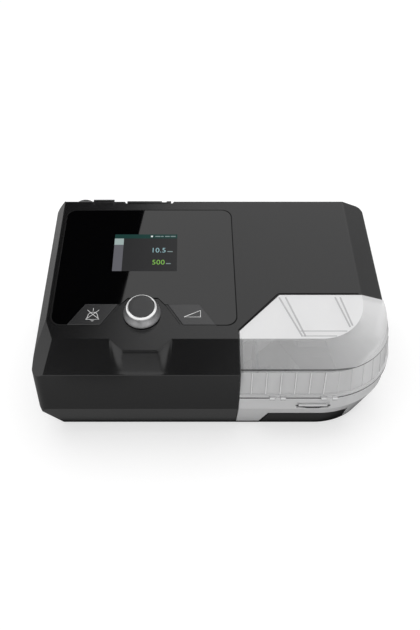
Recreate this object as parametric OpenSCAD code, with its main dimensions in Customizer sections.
// Bedside positive-pressure breathing machine with a slide-in water tub.
// Origin: middle of the whole machine's footprint on the table. +X right, +Y back, +Z up. Millimetres.

/* [Housing] */
// Width of the housing
body_w = 265; // [255:1:280]
// Depth of the housing, front face to back face
body_d = 160; // [156:1:166]
// Height of the housing at its back edge
body_h = 114; // [111:1:120]
// Fall of the top panel towards the front, in degrees
panel_tilt = 15; // [13:0.5:16]
// Height of the upright front face
front_h = 65; // [62:0.5:67]
// Depth of the steeper slope between the panel and the front face
slope_run = 24.6; // [20:0.1:26]
// Wall of the moulded housing
wall = 2.5; // [2:0.1:3]
// Height of the seam between the upper cover and the lower case
seam_z = 29; // [28:0.5:31]
// Inward lean of the lower case's front and right side, from the seam down to the table
base_inset = 11; // [8:0.5:12]
// Inward lean of the lower case's left side, from the seam down to the table
left_inset = 15; // [12:0.5:16]
// Height of the lower case's underside above the table
base_z = 0.6; // [0.5:0.1:1]
// Radius of the front upright corners
front_corner_r = 8; // [5:0.5:10]
// Radius of the back upright corners
back_corner_r = 6; // [4:0.5:8]
// Width of the lit chamfer along the left of the panel
strip_left_w = 6.5; // [5:0.5:9]
// Width of the lit chamfer along the right of the panel
strip_right_w = 18; // [14:0.5:20]
// Fall of both chamfers below the panel
strip_drop = 6.5; // [5:0.5:8]
// Reach of the corner facet from the left side, along the panel's front edge
facet_top = 13.4; // [11:0.1:16]
// Reach of the corner facet from the left side, along the top of the front face
facet_front = 9; // [6:0.1:10]
// Reach of the corner facet from the front, along the left side
facet_side = 8.5; // [6:0.1:10]

/* [Water tub] */
// X of the tub's left side
tub_left = 18.7; // [17.5:0.1:20]
// Y where the tub's slanted corner starts
tub_diag_y = -48.8; // [-52:0.1:-46]
// X where the tub's slanted corner ends
tub_diag_x = 51.2; // [49:0.1:53]
// Y of the tub's back wall
tub_back = -16.9; // [-18:0.1:-15]
// X of the upright axis of the tub's round corner
tub_cx = 80; // [79:0.5:82]
// Radius of the tub's round corner at the lid's rim
tub_r = 60; // [59:0.5:61]
// Wall of the clear mouldings
tub_wall = 2.2; // [2:0.1:2.6]
// Gap round the tub in its bay
tub_gap = 0.6; // [0.5:0.05:0.8]
// Height of the top edge of the tub base
tub_rim_z = 42.4; // [41.5:0.1:43]
// Gap between the tub base and the lid, filled by the gasket
lid_gap = 0.6; // [0.5:0.05:0.8]
// Height of the rims on both sides of the gasket
rim_h = 3; // [2.5:0.1:3.5]
// Reach of the rims beyond the wall
rim_out = 1.2; // [1:0.1:1.6]
// Height of the lid's shoulder line, where the ribbed band ends
band_top = 66.5; // [65:0.5:68]
// Inward lean of the ribbed band
band_lean = 3; // [2:0.1:4]
// Radius of the flat on top of the lid, at its round corner
crown_r = 35.3; // [33:0.1:37]
// Fall of the lid's shoulder per millimetre of run
shoulder_fall = 0.28; // [0.25:0.01:0.32]
// Spacing of the ribs round the band
rib_pitch = 10.6; // [9.5:0.1:12]
// Width of one rib
rib_w = 1.2; // [0.8:0.1:1.6]
// How far a rib stands proud of the band
rib_out = 0.5; // [0.4:0.05:0.8]
// Height of the tub's two legs above the table
leg_z = 3.2; // [3.1:0.1:3.8]
// X where the left leg ends and the raised floor begins
saddle_x0 = 42; // [40:0.5:44]
// X where the raised floor ends and the right leg begins
saddle_x1 = 103.5; // [102:0.5:105]
// Width of the slanted flank of the left leg
saddle_flank = 5.5; // [4:0.5:7]
// Height of the underside of the raised floor
saddle_z = 20.3; // [20:0.1:21.5]
// Radius of the air ports
port_r = 9; // [8:0.5:9.5]
// Height of the air ports
port_z = 54; // [53.5:0.1:55.5]
// X of the port that blows air into the tub
port_in_x = 72; // [70:0.5:76]
// Distance of the port that takes moist air out of the tub from the housing's right side
port_out_side = 20.5; // [19.5:0.5:23.5]

/* [Controls] */
// X of the line through the knob and the screen
ui_x = -54; // [-56:0.5:-52]
// Distance of the knob's axis from the middle of the panel, along the panel
knob_v = -35.2; // [-36:0.1:-34]
// Radius of the knob at its foot
knob_r = 14; // [13:0.1:15]
// Radius of the knob's top rim
knob_top_r = 11.6; // [11:0.1:12]
// Height of the knob's top rim above the panel
knob_h = 10; // [9:0.1:11.5]
// Press travel of the knob
knob_travel = 0.7; // [0.5:0.05:0.8]
// Radius of the encoder's shaft
shaft_r = 3; // [2.8:0.1:3.2]
// Running clearance of shafts, pins and sliding rotors
run_clear = 0.05; // [0.03:0.01:0.08]
// Width of each flat button
button_w = 24.3; // [22:0.1:25]
// Depth of each flat button, along the panel
button_d = 18.5; // [17:0.1:19]
// Sideways slant of each button over its depth
button_slant = 12; // [10:0.5:13]
// Distance from the control line to the nearer top corner of a button
button_off = 19.1; // [19:0.1:20.5]
// Distance of the buttons' front edge from the middle of the panel
button_front_v = -45.1; // [-45.8:0.1:-44.5]
// Press travel of the buttons
button_travel = 0.6; // [0.4:0.05:0.65]
// Gap round each button
button_gap = 0.3; // [0.2:0.05:0.4]
// Thickness of the glossy front window
lens_t = 1.6; // [1.4:0.1:2]
// Left edge of the glossy window
lens_x0 = -122.2; // [-124:0.1:-120]
// Right edge of the glossy window
lens_x1 = 17; // [15:0.1:17.4]
// Back edge of the glossy window, from the middle of the panel
lens_back_v = 66.5; // [64:0.5:68]
// Corner radius of the glossy window
lens_r = 8; // [5:0.5:9]
// Width of the screen
screen_w = 51.5; // [48:0.1:53]
// Height of the screen, along the panel
screen_d = 38.6; // [36:0.1:40]
// Middle of the screen, from the middle of the panel
screen_v = 24.9; // [23:0.1:26]

/* [Air path] */
// X of the blower's shaft
blower_x = -60; // [-62:0.5:-58]
// Distance of the blower's shaft from the back face
blower_back = 77; // [76:0.5:79]
// Largest inner radius of the blower's scroll
scroll_r1 = 42; // [41:0.5:43]
// Smallest inner radius of the blower's scroll
scroll_r0 = 30; // [29:0.5:31]
// Inner height of the scroll
scroll_h = 22; // [21:0.5:23]
// Wall of the blower's mouldings
scroll_wall = 2; // [1.6:0.1:2.2]
// Radius of the impeller
impeller_r = 25; // [23:0.5:26]
// Number of impeller blades
blade_count = 9; // [7:1:12]
// Inner radius of the air ducts
duct_r = 10; // [9.8:0.1:10.2]
// Wall of the air ducts
duct_wall = 2; // [1.6:0.1:2.2]
// Distance of the duct that runs along the back from the back face
duct_back_gap = 18; // [17.5:0.1:18.5]
// Distance of the outlet's axis, and of the riser behind it, from the left side
outlet_side = 19.5; // [18.5:0.5:20.5]
// Height of the outlet's axis
outlet_z = 90; // [89:0.5:91]
// Outer radius of the outlet, the standard 22 mm hose cone
outlet_r = 11; // [10.9:0.05:11.1]
// Reach of the outlet behind the housing
outlet_len = 25; // [22:0.5:28]
// Bore radius of the outlet
outlet_bore_r = 8.5; // [8:0.1:9]
// Left edge of the filter door
door_x0 = -72; // [-73:0.5:-70]
// Right edge of the filter door
door_x1 = -34; // [-36:0.5:-33]
// Height of the filter door, from its hinge pin up to the housing's back edge
door_h = 36; // [34:0.5:37]
// Thickness of the filter door
door_t = 2.4; // [2.2:0.1:2.4]

/* [Heater] */
// Width of the heater plate
heater_w = 42; // [38:0.5:43]
// Depth of the heater plate
heater_d = 36; // [32:0.5:37]
// X of the middle of the heater plate
heater_x = 73; // [72:0.5:74]
// Distance of the middle of the heater plate from the tub's back wall
heater_back = 27.1; // [26.1:0.1:28.1]
// Press travel of the heater plate
heater_travel = 1.5; // [1:0.1:2]

/* [Electronics and feet] */
// Thickness of the circuit boards
board_t = 1.6; // [1.2:0.1:1.6]
// Depth of the control board below the panel
board_n = 9; // [8.6:0.1:9.2]
// Height of the main board's underside
main_board_z = 8; // [7:0.5:9]
// Radius of the rubber feet
foot_r = 7; // [6:0.5:8]
// Radius of a housing screw's head
screw_head_r = 2.8; // [2.5:0.1:3]
// Core radius of a housing screw
screw_r = 1.25; // [1.1:0.05:1.3]
// X of the power socket on the back
socket_x = 70; // [66:1:80]
// Height of the power socket
socket_z = 16; // [15:0.5:18]
// X of the middle of the memory card slot
card_x = 30; // [26:1:38]
// Height of the memory card
card_z = 15; // [13:0.5:17]
// How far the memory card can be drawn out
card_travel = 24; // [20:1:24]

/* [Hidden] */
$fn = 96;
eps = 0.01;
far = 400;
y_front = -body_d / 2;
y_back = body_d / 2;
panel_z = body_h - y_back * tan(panel_tilt);
panel_front_y = y_front + slope_run;
slope_angle = atan((top_z(panel_front_y, 0) - front_h) / slope_run);
strip_left_a = atan(strip_drop / strip_left_w);
strip_right_a = atan(strip_drop / strip_right_w);
bay_gap = tub_gap;
bay_t = 2;
tub_cy = y_front + tub_r;
diag_a = atan2(tub_back - tub_diag_y, tub_diag_x - tub_left);
port_out_x = body_w / 2 - port_out_side;
heater_y = tub_back - heater_back;
blower_y = y_back - blower_back;
duct_back_y = y_back - duct_back_gap;
outlet_x = -body_w / 2 + outlet_side;
door_z = body_h - door_h;
lid_z = tub_rim_z + lid_gap;
floor_t = 2.5;
floor_z = base_z + floor_t;
bay_floor_z = leg_z - 0.3;
seal_r = port_r + 3;
duct_r_out = duct_r + duct_wall;
bay_back_y = tub_back + bay_gap + bay_t;
bend_r = 20;
riser_bend_r = 14;
lid_axis_y = y_front - rim_out - 0.4;
lid_axis_z = tub_rim_z + lid_gap / 2;
knuckle_r = 1.5;
knuckle_w = 4;
lid_pin_r = 0.75;
lid_hinge_x = [46.5, 84.5];
scroll_z0 = port_z - scroll_h / 2;
scroll_y = scroll_r1 - duct_r;
motor_r = 29;
isolator_h = 4;
motor_z0 = floor_z + isolator_h;
door_axis_y = y_back - door_t / 2;
cap_n = knob_h - 0.9;
button_flange_n = wall + 0.2;
platform_z = saddle_z - 0.3;
heater_pad_t = 3.3;
heater_flange_t = 2.2;
heater_edge = 2.4;
socket_w = 14;
card_w = 24;
card_t = 2.1;
card_l = 32;
case_bosses = [
  [-body_w / 2 + 26.5, y_front + 20], [tub_left - 12.7, y_front + 18], [-body_w / 2 + 32.5, y_back - 14],
  [0, y_back - 10], [body_w / 2 - 28.5, y_back - 14]
];
boss_r = 4.2;
boss_top = 40;
board_x0 = -body_w / 2 + 32.5;
board_x1 = tub_left - 20.7;
board_y0 = y_front + 13;
board_y1 = blower_y - motor_r - 10;
board_corners = [
  [board_x0 + 4, board_y0 + 4], [board_x1 - 4, board_y0 + 4],
  [board_x0 + 4, board_y1 - 4], [board_x1 - 4, board_y1 - 4]
];
control_x0 = -body_w / 2 + 28.5;
control_x1 = tub_left - 22.7;
control_v0 = y_front + 25;
control_v1 = y_back - 23;
panel_posts = [
  [control_x0 + 3, control_v0 + 5], [control_x1 - 4, control_v0 + 4],
  [control_x0 + 3, control_v1 - 5], [control_x1 - 4, control_v1 - 5]
];
feet = [
  [-body_w / 2 + 34.5, y_front + 34], [-body_w / 2 + 34.5, y_back - 22],
  [body_w / 2 - 34.5, y_back - 22], [tub_left + 11.3, y_front + 28]
];

// The parts are drawn from the middle of the housing; the tub's rim and the outlet reach beyond it,
// so every part is moved to put the origin in the middle of the whole machine.
module place() {
  shift_x = (tub_cx + tub_r + rim_out - body_w / 2) / 2;
  shift_y = (y_back + outlet_len + lid_axis_y - knuckle_r) / 2;
  translate([-shift_x, -shift_y, 0]) children();
}

// ---- Lines and planes of the housing ----

function top_z(y, t) = body_h - (y_back - y) * tan(panel_tilt) - t / cos(panel_tilt);
function slope_z(y, t) = front_h + (y - y_front) * tan(slope_angle) - t / cos(slope_angle);
function slope_end_y(t) =
  panel_front_y + t * (1 / cos(slope_angle) - 1 / cos(panel_tilt)) / (tan(slope_angle) - tan(panel_tilt));
// A height above the table, on the lower case's leaning wall, gives its distance in from the full outline.
function lean(z) = z >= seam_z ? 0 : base_inset * (seam_z - z) / seam_z;
function left_lean(z) = z >= seam_z ? 0 : left_inset * (seam_z - z) / seam_z;
// The tub's outline seen from above, moved outwards by g.
function bay_plan(g) = [
  [tub_left - g, -far],
  [tub_left - g, tub_diag_y + g * tan((90 - diag_a) / 2)],
  [tub_diag_x - g * tan(diag_a / 2), tub_back + g],
  [far, tub_back + g],
  [far, -far]
];

// Places its children in the panel's frame: x stays, y runs up the panel, z stands off it.
module on_panel() {
  translate([0, 0, panel_z]) rotate([panel_tilt, 0, 0]) children();
}

// Extrudes a side view, drawn as (y, z), across the width from x0 to x1.
module across(x0, x1) {
  translate([x0, 0, 0]) rotate([90, 0, 90]) linear_extrude(x1 - x0) children();
}

// Extrudes a front view, drawn as (x, z), from y0 back to y1.
module along(y0, y1) {
  translate([0, y1, 0]) rotate([90, 0, 0]) linear_extrude(y1 - y0) children();
}

// A rectangle whose front corners have radius rf and whose back corners have radius rb.
module round_rect(x0, x1, y0, y1, rf, rb) {
  difference() {
    translate([x0, y0]) square([x1 - x0, y1 - y0]);
    corner_waste(x0, y0, rf, 0);
    corner_waste(x1, y0, rf, 90);
    corner_waste(x1, y1, rb, 180);
    corner_waste(x0, y1, rb, 270);
  }
}

module corner_waste(x, y, r, turn) {
  translate([x, y]) rotate(turn) difference() {
    translate([-1, -1]) square(r + 1);
    translate([r, r]) circle(r);
  }
}

// Removes what lies on the outer side of the plane through p with normal n.
module beyond(p, n) {
  translate(p) rotate([0, acos(n.z / norm(n)), atan2(n.y, n.x)])
    translate([-body_d / 2, -body_d / 2, 0]) cube([body_d, body_d, body_d / 2]);
}

// The whole upper form, t inside its outer faces.
module cover_form(t) {
  facet_p = [-body_w / 2 + facet_top, panel_front_y, top_z(panel_front_y, 0)];
  facet_q = [-body_w / 2 + facet_front, y_front, front_h];
  facet_s = [-body_w / 2, y_front + facet_side, front_h];
  facet_n = cross(facet_s - facet_p, facet_q - facet_p);
  difference() {
    intersection() {
      across(-body_w / 2 + t, body_w / 2 - t)
        polygon([
          [y_front + t, seam_z - eps], [y_front + t, slope_z(y_front + t, t)],
          [slope_end_y(t), top_z(slope_end_y(t), t)], [y_back - t, top_z(y_back - t, t)],
          [y_back - t, seam_z - eps]
        ]);
      translate([0, 0, seam_z - 1])
        linear_extrude(body_h)
          round_rect(-body_w / 2 + t, body_w / 2 - t, y_front + t, y_back - t,
            front_corner_r - t, back_corner_r - t);
      on_panel()
        along(-body_d, body_d)
          polygon([
            [-body_w / 2 + t, -far], [-body_w / 2 + t, -strip_drop - t * tan(45 - strip_left_a / 2)],
            [-body_w / 2 + strip_left_w + t * tan(strip_left_a / 2), -t],
            [body_w / 2 - strip_right_w - t * tan(strip_right_a / 2), -t],
            [body_w / 2 - t, -strip_drop - t * tan(45 - strip_right_a / 2)], [body_w / 2 - t, -far]
          ]);
    }
    beyond(facet_p + facet_n / norm(facet_n) * (facet_n.z > 0 ? -t : t), facet_n.z > 0 ? facet_n : -facet_n);
  }
}

// The leaning lower form between the heights z0 and z1, t inside its outer faces.
module base_form(t, z0, z1) {
  intersection() {
    across(-body_w / 2, body_w / 2)
      polygon([
        [y_front + lean(z0) + t, z0], [y_front + lean(z1) + t, z1], [y_back - t, z1], [y_back - t, z0]
      ]);
    along(y_front, y_back)
      polygon([
        [-body_w / 2 + left_lean(z0) + t, z0], [-body_w / 2 + left_lean(z1) + t, z1],
        [body_w / 2 - lean(z1) - t, z1], [body_w / 2 - lean(z0) - t, z0]
      ]);
    translate([0, 0, z0])
      linear_extrude(z1 - z0)
        round_rect(-body_w / 2 + t, body_w / 2 - t, y_front + t, y_back - t,
          front_corner_r - t, back_corner_r - t);
  }
}

// Sweeps a (radius, height) profile along the front, round the tub's corner and back along the right.
module tub_sweep() {
  translate([tub_cx, tub_cy, 0]) {
    rotate([0, 0, -90]) rotate_extrude(angle = 90) children();
    rotate([90, 0, -90]) linear_extrude(tub_cx) children();
    rotate([90, 0, 180]) mirror([1, 0, 0]) linear_extrude(60) children();
    translate([-tub_cx, 0, 0]) linear_extrude(body_h + 10) square([tub_cx, 60]);
  }
}

// The tub's side view as radius against height, t inside its outer face.
function tub_side(t, r) = [
  [0, 0], [tub_r - base_inset - t, 0], [tub_r - t, seam_z], [tub_r - t, r],
  [tub_r - band_lean - t, band_top], [tub_r - band_lean - 5 - t, band_top + 18],
  [tub_r - band_lean - 8 - t, body_h + 10], [0, body_h + 10]
];

// The clear tub's whole outer form, t inside its faces, between two heights.
module tub_form(t, z0, z1) {
  intersection() {
    tub_sweep() polygon(tub_side(t, lid_z + rim_h));
    translate([0, 0, z0]) linear_extrude(z1 - z0) polygon(bay_plan(-t));
    tub_crown(t);
  }
}

// Everything below the lid's flat top and its shoulder.
module tub_crown(t) {
  crown_v = (tub_cy - 1.2) / cos(panel_tilt);
  reach = 80;
  translate([0, 0, -t / cos(panel_tilt)]) on_panel() translate([tub_cx - 0.7, crown_v, 0]) {
    rotate([0, 0, -90]) rotate_extrude(angle = 90) crown_side(reach);
    rotate([90, 0, -90]) linear_extrude(tub_cx) crown_side(reach);
    rotate([90, 0, 180]) mirror([1, 0, 0]) linear_extrude(60) crown_side(reach);
    translate([-tub_cx, 0, -far / 2]) linear_extrude(far / 2) square([tub_cx, 60]);
  }
}

module crown_side(reach) {
  polygon([
    [0, -far / 2], [0, 0], [crown_r, 0],
    [crown_r + reach, -reach * shoulder_fall], [crown_r + reach, -far / 2]
  ]);
}

// The raised floor over the heater, drawn as (x, z), with its top t above the underside.
module saddle_profile(t, z0) {
  polygon([
    [saddle_x0 - saddle_flank - t, z0], [saddle_x0 - saddle_flank - t, leg_z + t],
    [saddle_x0 - t, saddle_z + t], [saddle_x1 + t, saddle_z + t], [saddle_x1 + t, z0]
  ]);
}

// ---- Housing ----

// The glossy window's outline on the panel, grown by g, with the place of knob and buttons left open.
module window_outline(g) {
  difference() {
    round_rect(lens_x0 - g, lens_x1 + g, button_front_v - g, lens_back_v + g, lens_r + g, lens_r + g);
    control_bay(-g);
  }
}

// The matt field round the knob, between and around the two buttons.
module control_bay(g) {
  top = button_front_v + button_d + g;
  outer = button_off + button_w + g;
  translate([ui_x, 0])
    polygon([
      [-outer - button_slant, button_front_v - 1 - lens_r], [-outer - button_slant, button_front_v - g],
      [-outer, top], [-button_off + 2, top], [-11.5 - g, top + 6.2], [11.5 + g, top + 6.2],
      [button_off - 2, top], [outer, top], [outer + button_slant, button_front_v - g],
      [outer + button_slant, button_front_v - 1 - lens_r]
    ]);
}

// The shallow field between the buttons that the knob stands in.
module knob_field() {
  top = button_front_v + button_d;
  translate([ui_x, 0])
    polygon([
      [-button_off - button_slant + 2, button_front_v], [-button_off + 2, top], [-11.5, top + 6.2],
      [11.5, top + 6.2], [button_off - 2, top], [button_off + button_slant - 2, button_front_v]
    ]);
}

// One slanted button's outline on the panel, side = 1 for the right one and -1 for the left one.
module button_outline(g, side) {
  translate([ui_x, 0])
    polygon([
      [side * (button_off - g), button_front_v + button_d + g],
      [side * (button_off + button_w + g), button_front_v + button_d + g],
      [side * (button_off + button_w + button_slant + g * 1.5), button_front_v - g],
      [side * (button_off + button_slant - g * 0.5), button_front_v - g]
    ]);
}

// The nose under the knob, a step with slanted flanks that stands out of the front slope.
module knob_nose() {
  top_y0 = panel_front_y;
  top_y1 = panel_front_y - 9.3;
  z0 = top_z(top_y0, 0);
  z1 = top_z(top_y1, 0);
  points = [
    [ui_x - 23.1, top_y0, z0], [ui_x - 12.8, top_y1, z1], [ui_x + 12.2, top_y1, z1], [ui_x + 23, top_y0, z0],
    [ui_x - 10.7, y_front, front_h], [ui_x + 15.4, y_front, front_h]
  ];
  low = [for (p = points) p - [0, -0.6, 1.5]];
  hull() polyhedron(concat(points, low), [for (i = [0:9]) [i, i + 1, i + 2]]);
}

module upper_cover() {
  place() color("#4a4a4c") difference() {
    union() {
      difference() {
        cover_form(0);
        difference() {
          cover_form(wall);
          cover_bosses();
        }
        translate([0, 0, seam_z - 1]) linear_extrude(1) square([body_w + 2, body_d + 2], center = true);
      }
      knob_nose();
      on_panel() panel_post_set();
      raised_block();
    }
    translate([0, 0, -1]) linear_extrude(body_h + 40) polygon(bay_plan(bay_gap));
    on_panel() {
      translate([0, 0, -lens_t]) linear_extrude(lens_t + 5) window_outline(0.15);
      translate([0, 0, -0.4]) linear_extrude(5) knob_field();
      translate([ui_x - screen_w / 2 - 0.8, screen_v - screen_d / 2 - 0.8, -wall - 1])
        cube([screen_w + 1.6, screen_d + 1.6, wall + 2]);
      translate([0, 0, -wall - 1]) linear_extrude(wall + 2) button_outline(button_gap, 1);
      translate([0, 0, -wall - 1]) linear_extrude(wall + 2) button_outline(button_gap, -1);
      translate([ui_x, knob_v, -wall - 1]) cylinder(r = shaft_r + 3, h = wall + 2);
      for (p = panel_posts)
        translate([p.x, p.y, -board_n - 1]) cylinder(r = screw_r + 0.05, h = board_n - wall);
    }
    translate([outlet_x, y_back - wall - 1, outlet_z]) rotate([-90, 0, 0])
      cylinder(r = outlet_r + 0.8, h = wall + 2);
    door_hole();
    for (b = case_bosses)
      translate([b.x, b.y, seam_z - 1]) cylinder(r = screw_r + 0.05, h = boss_top - seam_z - 1);
  }
}

// Screw bosses that hang on the nearest wall by a web.
module cover_bosses() {
  for (b = case_bosses) {
    translate([b.x, b.y, seam_z - 2]) cylinder(r = boss_r, h = boss_top - seam_z + 2);
    wall_y = b.y < 0 ? y_front : b.y;
    web = b.y < 0 ? b.y - y_front : y_back - b.y;
    translate([b.x - 2, wall_y, seam_z - 2]) cube([4, web, boss_top - seam_z + 2]);
  }
}

module panel_post_set() {
  for (p = panel_posts) translate([p.x, p.y, -board_n]) cylinder(r = 3.2, h = board_n - wall + eps);
}

// A low raised block on the back edge, between the outlet and the filter door.
module raised_block() {
  intersection() {
    translate([outlet_x + 12, y_back - 5, body_h - 8]) cube([18, 5, 9]);
    across(outlet_x + 12, outlet_x + 30)
      polygon([
        [y_back - 5, body_h - 8], [y_back - 5, top_z(y_back - 5, 0) - 0.2],
        [y_back - 3, top_z(y_back - 3, -1)], [y_back, top_z(y_back, -1)], [y_back, body_h - 8]
      ]);
  }
}

// The opening for the filter door, its pin and the notches beside its top.
module door_hole() {
  notch = 2.4;
  translate([door_x0 - 0.3, y_back - wall - 0.1, door_z - door_t / 2 - 0.4])
    cube([door_x1 - door_x0 + 0.6, wall + 2, body_h]);
  for (x = [door_x0 - 0.3, door_x1 + 0.3])
    translate([x, y_back - wall - 0.1, body_h - wall * tan(panel_tilt)])
      rotate([-90, 0, 0]) rotate(45) translate([-notch / 2, -notch / 2, 0]) cube([notch, notch, wall + 2]);
  translate([door_x0 - 2.5, door_axis_y, door_z]) rotate([0, 90, 0])
    cylinder(r = 0.75, h = door_x1 - door_x0 + 5);
}

module lower_case() {
  place() color("#39393b") difference() {
    union() {
      difference() {
        base_form(0, base_z, seam_z);
        difference() {
          base_form(wall, floor_z, seam_z + 1);
          translate([0, 0, floor_z - 1]) linear_extrude(far) polygon(bay_plan(bay_gap));
        }
        translate([0, 0, bay_floor_z]) linear_extrude(far) polygon(bay_plan(bay_gap));
        bay_floor_waste();
      }
      intersection() {
        for (b = case_bosses) translate([b.x, b.y, base_z + 1]) cylinder(r = boss_r, h = seam_z - base_z - 1);
        base_form(1, base_z, seam_z);
      }
      for (p = board_corners)
        translate([p.x, p.y, base_z + 1]) cylinder(r = 3, h = main_board_z - base_z - 1);
    }
    for (b = case_bosses) translate([b.x, b.y, 0]) {
      cylinder(r = screw_r + 0.35, h = seam_z + 1);
      cylinder(r = screw_head_r + 0.3, h = base_z + 4);
    }
    for (p = board_corners) translate([p.x, p.y, floor_z]) cylinder(r = screw_r + 0.05, h = main_board_z);
    for (f = feet) translate([f.x, f.y, base_z - 1]) cylinder(r = foot_r + 0.1, h = 1.8);
    translate([socket_x - socket_w / 2, y_back - wall - 1, socket_z - 5.5]) cube([socket_w, wall + 2, 11]);
    translate([card_x - card_w / 2 - 0.6, y_back - wall - 1, card_z - 0.6])
      cube([card_w + 1.2, wall + 2, card_t + 1.2]);
    for (i = [0:5]) translate([blower_x - 10 + i * 9, blower_y + 23, base_z - 1]) cube([3, 22, floor_t + 2]);
  }
}

// What the tub's round corner takes off the lower case.
module bay_floor_waste() {
  difference() {
    translate([tub_cx, y_front - 1, 0]) cube([body_w, tub_cy - y_front + 1, seam_z + 2]);
    tub_sweep() polygon([
      [0, 0], [tub_r - lean(base_z), base_z], [tub_r, seam_z + 3], [0, seam_z + 3]
    ]);
  }
}

// The upright wall between the tub's bay and the works, with the two port holes.
module bay_wall() {
  place() color("#242426") difference() {
    intersection() {
      difference() {
        translate([0, 0, floor_z - 1.5]) linear_extrude(body_h) polygon(bay_plan(bay_gap + bay_t));
        translate([0, 0, -1]) linear_extrude(body_h + 40) polygon(bay_plan(bay_gap));
      }
      union() {
        cover_form(wall);
        base_form(wall, floor_z, seam_z + 1);
      }
    }
    for (x = [port_in_x, port_out_x])
      translate([x, tub_back - 1, port_z]) rotate([-90, 0, 0]) cylinder(r = seal_r, h = 10);
  }
}

// ---- Heater under the tub ----

module heater_base() {
  x0 = saddle_x0 - saddle_flank + 1;
  x1 = saddle_x1 - 0.8;
  place() color("#1a1a1c") difference() {
    intersection() {
      along(y_front - 1, 0)
        polygon([
          [x0, bay_floor_z], [x0 + saddle_flank, platform_z], [x1, platform_z], [x1, bay_floor_z]
        ]);
      linear_extrude(seam_z) polygon(bay_plan(bay_gap - 0.1));
      tub_sweep() polygon([
        [0, 0], [tub_r - lean(base_z), base_z], [tub_r, seam_z], [0, seam_z]
      ]);
    }
    heater_block(0.3, 0, far);
    heater_block(heater_edge + 0.3, bay_floor_z - 1, platform_z - heater_pad_t);
  }
}

// A block over the heater's outline, grown by g, between two heights.
module heater_block(g, z0, z1) {
  translate([heater_x - heater_w / 2 - g, heater_y - heater_d / 2 - g, z0])
    cube([heater_w + 2 * g, heater_d + 2 * g, z1 - z0]);
}

module heater_plate() {
  low = platform_z - heater_pad_t - 0.3;
  place() color("silver") union() {
    heater_block(0, low - eps, platform_z);
    heater_block(heater_edge, low - heater_flange_t, low);
  }
}

module heater_springs() {
  z1 = platform_z - heater_pad_t - 0.3 - heater_flange_t;
  place() color("gray") translate([heater_x, heater_y, bay_floor_z]) for (x = [-1, 1], y = [-1, 1])
    translate([x * (heater_w / 2 - 3), y * (heater_d / 2 - 3), 0]) difference() {
      cylinder(r = 3.6, h = z1 - bay_floor_z);
      translate([0, 0, -1]) cylinder(r = 2.6, h = far);
    }
}

// ---- Panel: window, screen, buttons, knob ----

module front_window() {
  place() color("#0c0c0e") on_panel() translate([0, 0, -lens_t]) linear_extrude(lens_t) window_outline(0);
}

module screen_module() {
  edge = 4;
  place() color("#1d2a30") on_panel() union() {
    translate([ui_x - screen_w / 2 - edge, screen_v - screen_d / 2 - edge, -wall - 3.5])
      cube([screen_w + 2 * edge, screen_d + 2 * edge, 3.3]);
    translate([ui_x - screen_w / 2, screen_v - screen_d / 2, -wall - 0.3])
      cube([screen_w, screen_d, wall - lens_t + 0.2]);
  }
}

module control_board() {
  place() color("darkgreen") on_panel() difference() {
    translate([control_x0, control_v0, -board_n - board_t])
      cube([control_x1 - control_x0, control_v1 - control_v0, board_t]);
    for (p = panel_posts)
      translate([p.x, p.y, -board_n - board_t - 1]) cylinder(r = screw_r + 0.35, h = board_t + 2);
  }
}

// Middle of a button along x, side = 1 right and -1 left.
function button_mid(side) = ui_x + side * (button_off + button_w / 2 + button_slant / 2);
button_mid_v = button_front_v + button_d / 2;
stem_n = button_flange_n + 1.2 + 0.8;

module dome_pads() {
  dome_n = stem_n + button_travel + 0.1;
  place() color("gainsboro") on_panel() for (side = [-1, 1])
    translate([button_mid(side), button_mid_v, -board_n]) union() {
      translate([-11, -8, 0]) cube([22, 16, 1.2]);
      cylinder(r = 4, h = board_n - dome_n);
    }
}

module panel_button(side) {
  on_panel() union() {
    translate([0, 0, -button_flange_n - eps]) linear_extrude(button_flange_n + 0.3) button_outline(0, side);
    translate([0, 0, -button_flange_n - 1.2]) linear_extrude(1.2) button_outline(1, side);
    translate([button_mid(side), button_mid_v, -stem_n]) cylinder(r = 3, h = 1);
  }
}

module alarm_mute_button() {
  place() color("#2b2b2d") panel_button(-1);
}

module ramp_button() {
  place() color("#2b2b2d") panel_button(1);
}

module on_knob() {
  on_panel() translate([ui_x, knob_v, 0]) children();
}

rotor_r = shaft_r + 1.5;
body_floor = board_n - 0.1;

module encoder_body() {
  place() color("silver") on_knob() difference() {
    union() {
      translate([-6.5, -6.5, -board_n]) cube([13, 13, board_n - wall - 0.3]);
      cylinder_between(shaft_r + 2.6, -wall - 0.4, 0.9);
    }
    cylinder_between(rotor_r + run_clear, -body_floor, 2);
  }
}

module cylinder_between(r, z0, z1) {
  translate([0, 0, z0]) cylinder(r = r, h = z1 - z0);
}

module encoder_rotor() {
  place() color("dimgray") on_knob() difference() {
    cylinder_between(rotor_r, -body_floor + 0.3, 0.7);
    cylinder_between(shaft_r + run_clear, -body_floor - 1, 2);
  }
}

module encoder_shaft() {
  place() color("silver") on_knob() cylinder_between(shaft_r, -body_floor + knob_travel + 0.3, knob_h - 2);
}

module knob_skirt() {
  foot = 1.1;
  place() color("#a8a9ab") on_knob() difference() {
    rotate_extrude()
      polygon([
        [0, foot], [knob_r - 0.5, foot], [knob_r, foot + 0.5], [knob_r - 0.1, foot + 1.6],
        [knob_r - 0.7, knob_h * 0.42], [knob_top_r + 0.75, knob_h - 1.6], [knob_top_r + 0.55, knob_h - 0.7],
        [knob_top_r, knob_h], [0, knob_h]
      ]);
    cylinder_between(knob_top_r - 1.9, cap_n - 0.4, knob_h + 1);
    cylinder_between(shaft_r + run_clear, -1, knob_h - 2 + run_clear);
    cylinder_between(shaft_r + 5, -1, foot + 1.2);
  }
}

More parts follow.
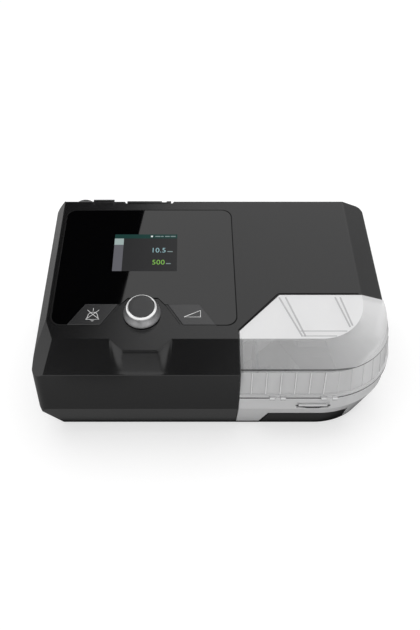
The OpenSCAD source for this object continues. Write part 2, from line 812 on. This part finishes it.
module knob_cap() {
  r = knob_top_r - 1.95;
  place() color("#3c3c3e") on_knob() rotate_extrude()
    polygon([
      [0, cap_n - 0.4], [r, cap_n - 0.4], [r, knob_h - 0.5], [r - 0.4, knob_h - 0.2], [0, knob_h - 0.05]
    ]);
}

// ---- Circuit boards ----

module main_board() {
  place() color("darkgreen") difference() {
    translate([board_x0, board_y0, main_board_z]) cube([board_x1 - board_x0, board_y1 - board_y0, board_t]);
    for (p = board_corners) translate([p.x, p.y, 0]) cylinder(r = screw_r + 0.35, h = far);
  }
}

connector_y = board_y1 - 8;

module main_connectors() {
  z = main_board_z + board_t;
  place() color("ivory") for (c = [[26, 14], [48, 10], [62, 10]])
    translate([board_x0 + c[0], connector_y, z]) cube([c[1], 6, 7]);
}

module alarm_buzzer() {
  place() color("#151515") translate([board_x0 + 16, board_y0 + 9, main_board_z + board_t]) difference() {
    cylinder(r = 6, h = 7);
    translate([0, 0, 6]) cylinder(r = 1.5, h = 2);
  }
}

module pressure_sensor() {
  place() color("#151515") translate([board_x1 - 18, board_y0 + 10, main_board_z + board_t]) union() {
    translate([-6, -5, 0]) cube([12, 10, 4]);
    translate([-3, 0, 4 - eps]) cylinder(r = 1.6, h = 5);
    translate([3, 0, 4 - eps]) cylinder(r = 1.6, h = 5);
  }
}

// The flat cable from the control board down to the main board.
module display_cable() {
  y0 = connector_y - 0.6;
  z0 = main_board_z + board_t + 3;
  top = top_z(y0, board_n + board_t);
  place() color("ivory") translate([board_x0 + 51, y0, z0]) cube([4, 0.6, top - z0]);
}

// ---- Blower ----

module at_blower() {
  translate([blower_x, blower_y, 0]) children();
}

module blower_mounts() {
  place() color("#2e2e30") at_blower() for (a = [30, 150, 270]) rotate(a)
    translate([motor_r - 8, 0, floor_z]) difference() {
      cylinder(r = 6, h = isolator_h);
      translate([0, 0, -1]) cylinder(r = 2, h = isolator_h + 2);
    }
}

bearing_r = 5.5;
bearing_h = 4;
spindle_r = 2;

module motor_can() {
  place() color("silver") at_blower() difference() {
    cylinder_between(motor_r, motor_z0, scroll_z0 - scroll_wall);
    cylinder_between(motor_r - 2, motor_z0 + 3, far);
    cylinder_between(bearing_r + 0.02, motor_z0 + 1, far);
  }
}

module motor_bearings() {
  place() color("gray") at_blower() for (z = [motor_z0 + 1, scroll_z0 - bearing_h]) difference() {
    cylinder_between(bearing_r, z, z + bearing_h);
    cylinder_between(spindle_r + run_clear, z - 1, z + bearing_h + 1);
  }
}

module motor_stator() {
  place() color("peru") at_blower() difference() {
    cylinder_between(motor_r - 2.05, motor_z0 + 7, motor_z0 + 23);
    cylinder_between(13, motor_z0, far);
    for (i = [0:8]) rotate(i * 40) translate([19, 0, motor_z0 + 6]) cylinder(r = 2.6, h = 30);
  }
}

module motor_rotor() {
  place() color("dimgray") at_blower() union() {
    cylinder_between(12.5, motor_z0 + 7, motor_z0 + 23);
    cylinder_between(spindle_r, motor_z0 + 1.3, scroll_z0 + scroll_h - 6);
  }
}

// The scroll's inner outline, w outside it: a spiral that widens clockwise from the tongue,
// then a straight outlet towards +X.
function tongue(w) = asin((scroll_y - duct_r - w) / (scroll_r0 + w));
function scroll_line(w) = concat(
  [
    for (i = [0:36])
      let (r = scroll_r0 + w + (scroll_r1 - scroll_r0) * i / 36, a = tongue(w) - (270 + tongue(w)) * i / 36)
        [r * cos(a), r * sin(a)]
  ],
  [[scroll_r1, scroll_r1 + w], [scroll_r1, scroll_y - duct_r - w]]
);

module blower_scroll() {
  z1 = scroll_z0 + scroll_h;
  spout = scroll_r1 + scroll_wall;
  place() color("#cfd0d2") at_blower() difference() {
    union() {
      translate([0, 0, scroll_z0 - scroll_wall])
        linear_extrude(scroll_h + scroll_wall) polygon(scroll_line(scroll_wall));
      translate([scroll_r1 - 1, scroll_y - duct_r - scroll_wall, scroll_z0 - scroll_wall])
        cube([1 + scroll_wall, 2 * (duct_r + scroll_wall), scroll_h + scroll_wall]);
      translate([spout - 1, scroll_y, port_z]) rotate([0, 90, 0]) cylinder(r = duct_r - 0.1, h = 12);
    }
    translate([0, 0, scroll_z0]) linear_extrude(scroll_h + 1) polygon(scroll_line(0));
    translate([scroll_r1 - 3, scroll_y, port_z]) rotate([0, 90, 0]) cylinder(r = duct_r - 1.6, h = 20);
    cylinder_between(bearing_r + 0.02, scroll_z0 - 10, z1);
  }
}

module blower_cover() {
  z1 = scroll_z0 + scroll_h;
  place() color("#cfd0d2") at_blower() difference() {
    union() {
      translate([0, 0, z1]) linear_extrude(scroll_wall) polygon(scroll_line(scroll_wall));
      cylinder_between(15, z1, z1 + scroll_wall + 3);
    }
    cylinder_between(13, z1 - 1, far);
  }
}

// Backward-curved blades on a back plate.
module impeller() {
  z0 = scroll_z0 + 1.5;
  tip_r = impeller_r - 0.3;
  root_r = 9;
  curve_r = 14;
  place() color("whitesmoke") at_blower() difference() {
    union() {
      cylinder_between(impeller_r, z0, z0 + 1.5);
      cylinder_between(6, z0, z0 + 13);
      for (i = [0:blade_count - 1])
        rotate(i * 360 / blade_count) translate([0, 0, z0 + 1]) linear_extrude(11) intersection() {
          ring(root_r, tip_r);
          translate([curve_r - 2, 0]) ring(curve_r - 1.2, curve_r);
          square(impeller_r);
        }
    }
    cylinder_between(spindle_r + 0.02, z0 - 1, far);
  }
}

// ---- Ducts ----

module ring(r_in, r_out) {
  difference() {
    circle(r_out, $fn = 48);
    circle(r_in, $fn = 48);
  }
}

// A straight pipe from the origin along +X.
module pipe(len) {
  rotate([90, 0, 90]) linear_extrude(len) ring(duct_r, duct_r_out);
}

// A quarter bend of the duct about the origin, r from it, starting on +X.
module bend(r) {
  rotate_extrude(angle = 90, $fn = 48) translate([r, 0]) ring(duct_r, duct_r_out);
}

module blower_duct() {
  x0 = blower_x + scroll_r1 + scroll_wall + 2;
  y0 = blower_y + scroll_y;
  x1 = port_in_x - bend_r;
  y1 = y0 - bend_r;
  place() color("#b9bcc0") union() {
    translate([x0, y0, port_z]) pipe(x1 - x0);
    translate([x1, y1, port_z]) bend(bend_r);
    translate([port_in_x, bay_back_y, port_z]) rotate([0, 0, 90]) pipe(y1 - bay_back_y);
  }
}

module outlet_duct() {
  x1 = port_out_x - bend_r;
  y1 = duct_back_y - bend_r;
  x2 = outlet_x + bend_r;
  z2 = port_z + bend_r;
  z3 = outlet_z - riser_bend_r;
  place() color("#b9bcc0") union() {
    translate([port_out_x, bay_back_y, port_z]) rotate([0, 0, 90]) pipe(y1 - bay_back_y);
    translate([x1, y1, port_z]) bend(bend_r);
    translate([x2, duct_back_y, port_z]) pipe(x1 - x2);
    translate([x2, duct_back_y, z2]) rotate([90, 0, 0]) rotate([0, 0, 180]) bend(bend_r);
    translate([outlet_x, duct_back_y, z2]) linear_extrude(z3 - z2) ring(duct_r, duct_r_out);
    translate([outlet_x, duct_back_y + riser_bend_r, z3])
      rotate([0, 90, 0]) rotate([0, 0, 180]) bend(riser_bend_r);
  }
}

module air_outlet() {
  y0 = duct_back_y + riser_bend_r;
  place() color("#3a3a3c") translate([outlet_x, 0, outlet_z]) difference() {
    union() {
      translate([0, y0, 0]) rotate([-90, 0, 0]) cylinder(r = outlet_r, h = y_back + outlet_len - y0);
      translate([0, y0, 0]) rotate([-90, 0, 0]) cylinder(r = outlet_r + 0.7, h = y_back - y0);
      translate([0, y0, 0]) rotate([-90, 0, 0]) cylinder(r = outlet_r + 2.5, h = y_back - wall - y0);
    }
    translate([0, y0 - 1, 0]) rotate([-90, 0, 0]) cylinder(r = outlet_bore_r, h = far);
  }
}

module port_seals() {
  place() color("white") for (x = [port_in_x, port_out_x])
    translate([x, bay_back_y, port_z]) rotate([90, 0, 0]) difference() {
      cylinder(r = seal_r - 0.05, h = bay_back_y - tub_back - 0.3);
      translate([0, 0, -1]) cylinder(r = port_r, h = 20);
    }
}

// ---- Air filter ----

filter_y0 = y_back - wall - 14.5;
filter_z0 = door_z - 4;
filter_z1 = top_z(filter_y0, wall) - 1.5;

module filter_housing() {
  x0 = door_x0 - 2;
  x1 = door_x1 + 2;
  w = 1.6;
  h = filter_z1 - filter_z0;
  place() color("#2c2c2e") translate([x0, filter_y0, filter_z0]) difference() {
    cube([x1 - x0, y_back - wall - filter_y0 - 0.1, h]);
    translate([w, w, w]) cube([x1 - x0 - 2 * w, 30, h - 2 * w]);
    for (i = [0:4]) translate([6 + i * 6.4, -1, 6]) cube([3.4, 5, h - 12]);
  }
}

module air_filter() {
  x0 = door_x0 - 0.3;
  place() color("#d9dbdd") translate([x0, filter_y0 + 1.7, filter_z0 + 1.7])
    cube([door_x1 - door_x0 + 0.6, 9, filter_z1 - filter_z0 - 3.4]);
}

module filter_door() {
  slot_n = 5;
  rise = (filter_z1 - door_z - 10) / slot_n;
  place() color("#454547") difference() {
    union() {
      intersection() {
        translate([door_x0, y_back - door_t, door_z]) cube([door_x1 - door_x0, door_t, body_h]);
        cover_form(0);
      }
      translate([door_x0, door_axis_y, door_z]) rotate([0, 90, 0])
        cylinder(r = door_t / 2, h = door_x1 - door_x0);
    }
    translate([door_x0 - 1, door_axis_y, door_z]) rotate([0, 90, 0])
      cylinder(r = 0.75, h = door_x1 - door_x0 + 2);
    for (i = [0:slot_n - 1]) translate([door_x0 + 5, y_back - door_t - 1, door_z + 5 + i * rise])
      cube([door_x1 - door_x0 - 10, door_t + 2, 2]);
    translate([door_x1 - 8, y_back - 1.2, body_h - 3]) cube([4, 3, 4]);
  }
}

module filter_door_pin() {
  place() color("silver") translate([door_x0 - 2.2, door_axis_y, door_z]) rotate([0, 90, 0])
    cylinder(r = 0.75 - run_clear, h = door_x1 - door_x0 + 4.4);
}

module inlet_foam() {
  y0 = blower_y + 22;
  z0 = scroll_z0 + scroll_h + scroll_wall + 0.3;
  z1 = top_z(y0, board_n + board_t) - 3;
  place() color("#8a8c8f") translate([blower_x - 12, y0, z0]) cube([38, filter_y0 - 2 - y0, z1 - z0]);
}

// ---- Sockets on the back ----

module power_socket() {
  y0 = y_back - wall - 9;
  place() color("#161616") difference() {
    translate([socket_x - socket_w / 2 + 0.2, y0, socket_z - 5.3])
      cube([socket_w - 0.4, y_back - y0 - 0.8, 10.6]);
    translate([socket_x, y0 + 2, socket_z]) rotate([-90, 0, 0]) difference() {
      cylinder(r = 3.2, h = 20);
      cylinder(r = 1, h = y_back - y0 - 4);
    }
  }
}

module card_socket() {
  y0 = y_back - wall - card_l - 2;
  place() color("silver") difference() {
    translate([card_x - card_w / 2 - 2, y0, floor_z])
      cube([card_w + 4, card_l + 2, card_z + card_t + 2.5 - floor_z]);
    translate([card_x - card_w / 2 - 0.3, y0 + 2, card_z - 0.3]) cube([card_w + 0.6, far, card_t + 0.6]);
  }
}

module memory_card() {
  place() color("#1c1c1e") translate([card_x - card_w / 2, y_back - card_l + 1.5 - wall + 0.3, card_z])
    linear_extrude(card_t) polygon([[0, 0], [card_w - 4, 0], [card_w, 4], [card_w, card_l], [0, card_l]]);
}

// ---- Water tub ----

module rim_band(z0, z1) {
  intersection() {
    tub_sweep() polygon([[0, z0], [tub_r + rim_out, z0], [tub_r + rim_out, z1], [0, z1]]);
    translate([0, 0, z0]) linear_extrude(z1 - z0) polygon(bay_plan(0));
  }
}

module lid_knuckles(side, grow, pad) {
  for (x = lid_hinge_x) for (i = side == 0 ? [0] : [-1, 1])
    translate([x + i * knuckle_w - knuckle_w / 2 - pad, lid_axis_y, lid_axis_z]) rotate([0, 90, 0])
      cylinder(r = knuckle_r + grow, h = knuckle_w + 2 * pad);
}

module lid_pin_holes() {
  for (x = lid_hinge_x) translate([x - knuckle_w * 1.5, lid_axis_y, lid_axis_z]) rotate([0, 90, 0])
    cylinder(r = lid_pin_r + run_clear, h = knuckle_w * 3);
}

module tub_base() {
  bar_z = 33.2;
  place() color([0.86, 0.9, 0.93, 0.35]) difference() {
    union() {
      tub_form(0, leg_z, tub_rim_z);
      rim_band(tub_rim_z - rim_h, tub_rim_z);
      lid_knuckles(1, 0, -0.1);
    }
    difference() {
      tub_form(tub_wall, leg_z + tub_wall, tub_rim_z + 1);
      along(-far, far) saddle_profile(tub_wall, 0);
    }
    along(-far, far) saddle_profile(0, -1);
    heater_block(2, saddle_z - 1, saddle_z + tub_wall + 1);
    lid_knuckles(0, 0.35, 0.2);
    lid_pin_holes();
    finger_pocket(bar_z);
  }
}

// The finger pull on the front of the tub: a shallow pocket with a bar across it.
module finger_pocket(bar_z) {
  pull_w = 24;
  translate([heater_x + 1 - pull_w / 2, y_front - 1, bar_z]) difference() {
    translate([0, 0, -3]) cube([pull_w, 2.2, 6]);
    translate([2, 0, -0.8]) cube([pull_w - 4, 3, 1.6]);
  }
}

module tub_heat_plate() {
  place() color("silver") heater_block(1.95, saddle_z, saddle_z + tub_wall);
}

module tub_lid() {
  place() color([0.86, 0.9, 0.93, 0.35]) difference() {
    union() {
      tub_form(0, lid_z, far);
      rim_band(lid_z, lid_z + rim_h);
      band_ribs();
      lid_knuckles(0, 0, -0.1);
    }
    tub_form(tub_wall, lid_z - 1, far);
    gasket_ring(0.15, lid_z - 1, lid_z + 1.4);
    lid_knuckles(1, 0.35, 0.2);
    lid_pin_holes();
    for (x = [port_in_x, port_out_x]) translate([x, tub_back - tub_wall - 1, port_z]) rotate([-90, 0, 0])
      cylinder(r = port_r, h = tub_wall + 2);
  }
}

// Upright ribs along the front of the band and round its corner.
module band_ribs() {
  z0 = lid_z + rim_h - 0.5;
  h = band_top - z0 - 1.5;
  lean_a = atan(band_lean / (band_top - lid_z - rim_h));
  front_n = floor((tub_cx - tub_left - 4) / rib_pitch);
  turn = rib_pitch / tub_r * 180 / PI;
  for (i = [1:front_n]) translate([tub_cx - i * rib_pitch, tub_cy - tub_r, z0]) rib(h, lean_a);
  for (a = [0:turn:84]) translate([tub_cx, tub_cy, 0]) rotate(a) translate([0, -tub_r, z0]) rib(h, lean_a);
}

module rib(h, lean_a) {
  rotate([-lean_a, 0, 0]) translate([-rib_w / 2, -rib_out, 0]) cube([rib_w, rib_out + 1, h]);
}

module gasket_ring(g, z0, z1) {
  difference() {
    tub_form(tub_wall / 2 - 0.5 - g, z0, z1);
    tub_form(tub_wall / 2 + 0.5 + g, z0 - 1, z1 + 1);
  }
}

module tub_gasket() {
  place() color("white") gasket_ring(0, tub_rim_z + 0.3, lid_z + 1.4);
}

// Slanting walls under the lid that lead the air over the water.
module tub_air_guide() {
  t = 1.6;
  z0 = top_z(tub_back, 0) - 24;
  place() color([0.9, 0.93, 0.95, 0.4]) intersection() {
    difference() {
      translate([0, 0, z0]) linear_extrude(far) guide_outline(0);
      translate([0, 0, z0 - 1]) linear_extrude(far) guide_outline(-t);
    }
    tub_form(tub_wall, z0 - 1, far);
  }
}

module guide_outline(g) {
  back = tub_back - tub_wall;
  front = tub_back - 33.1 - g;
  polygon([
    [port_in_x - 19 - g, back], [port_in_x - 9 - g, front],
    [port_out_x - 11 + g, front], [port_out_x - 17 + g, back]
  ]);
}

module lid_pins() {
  place() color("silver") for (x = lid_hinge_x)
    translate([x - knuckle_w * 1.5, lid_axis_y, lid_axis_z]) rotate([0, 90, 0])
      cylinder(r = lid_pin_r, h = knuckle_w * 3);
}

// ---- Fasteners and feet ----

module screw(head_r, head_h, len) {
  difference() {
    union() {
      cylinder(r = head_r, h = head_h);
      cylinder(r = screw_r, h = head_h + len);
    }
    translate([0, 0, -1]) cylinder(r = head_r * 0.5, h = 1 + head_h * 0.6, $fn = 6);
  }
}

module housing_screws() {
  place() color("silver") for (b = case_bosses)
    translate([b.x, b.y, base_z + 2]) screw(screw_head_r, 2, boss_top - base_z - 8);
}

module board_screws() {
  place() color("silver") for (p = board_corners)
    translate([p.x, p.y, main_board_z + board_t + 1.6]) mirror([0, 0, 1])
      screw(2.4, 1.6, main_board_z + board_t - floor_z - 0.4);
}

module panel_screws() {
  place() color("silver") on_panel() for (p = panel_posts)
    translate([p.x, p.y, -board_n - board_t - 1.6]) screw(2.4, 1.6, board_t + board_n - wall - 1.4);
}

module rubber_feet() {
  place() color("#202022") for (f = feet) translate([f.x, f.y, 0]) rotate_extrude()
    polygon([[0, 0], [foot_r - 0.6, 0], [foot_r, 0.6], [foot_r, base_z + 0.8], [0, base_z + 0.8]]);
}

upper_cover();
lower_case();
bay_wall();
heater_base();
heater_plate();
heater_springs();
front_window();
screen_module();
control_board();
dome_pads();
alarm_mute_button();
ramp_button();
encoder_body();
encoder_rotor();
encoder_shaft();
knob_skirt();
knob_cap();
main_board();
main_connectors();
alarm_buzzer();
pressure_sensor();
display_cable();
blower_mounts();
motor_can();
motor_stator();
motor_rotor();
motor_bearings();
blower_scroll();
blower_cover();
impeller();
blower_duct();
outlet_duct();
air_outlet();
port_seals();
filter_housing();
air_filter();
filter_door();
filter_door_pin();
inlet_foam();
power_socket();
card_socket();
memory_card();
tub_base();
tub_heat_plate();
tub_lid();
tub_gasket();
tub_air_guide();
lid_pins();
housing_screws();
board_screws();
panel_screws();
rubber_feet();
